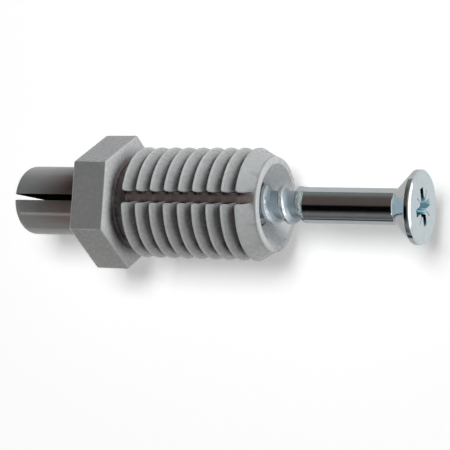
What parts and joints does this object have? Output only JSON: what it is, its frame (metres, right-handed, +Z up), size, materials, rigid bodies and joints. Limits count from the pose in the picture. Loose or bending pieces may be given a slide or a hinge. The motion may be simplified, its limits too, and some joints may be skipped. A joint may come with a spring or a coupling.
{
  "type": "wall plug with screw",
  "caption": "Nylon wall plug with a split stub, hexagon collar and barbed barrel, and a countersunk cross-recess screw started in its funnel mouth.",
  "frame": {"origin": "on the axis of the plug, where the stub meets the collar's seat face", "axes": "+X along the axis towards the mouth and the screw's head, +Z up from the collar's lower flat"},
  "size_m": [0.062, 0.0194, 0.0168],
  "materials": {
    "nylon": "moulded grey nylon with a soft sheen",
    "zinc": "bright zinc plate with a bluish tint"
  },
  "bodies": {
    "sleeve": {"plug_sleeve": "nylon"},
    "screw": {"screw": "zinc"}
  },
  "joints": [
    {"name": "screw_drive", "type": "slide", "parent": "sleeve", "child": "screw", "axis": [-1, 0, 0], "range_m": [-0.018, 0.0209]}
  ]
}
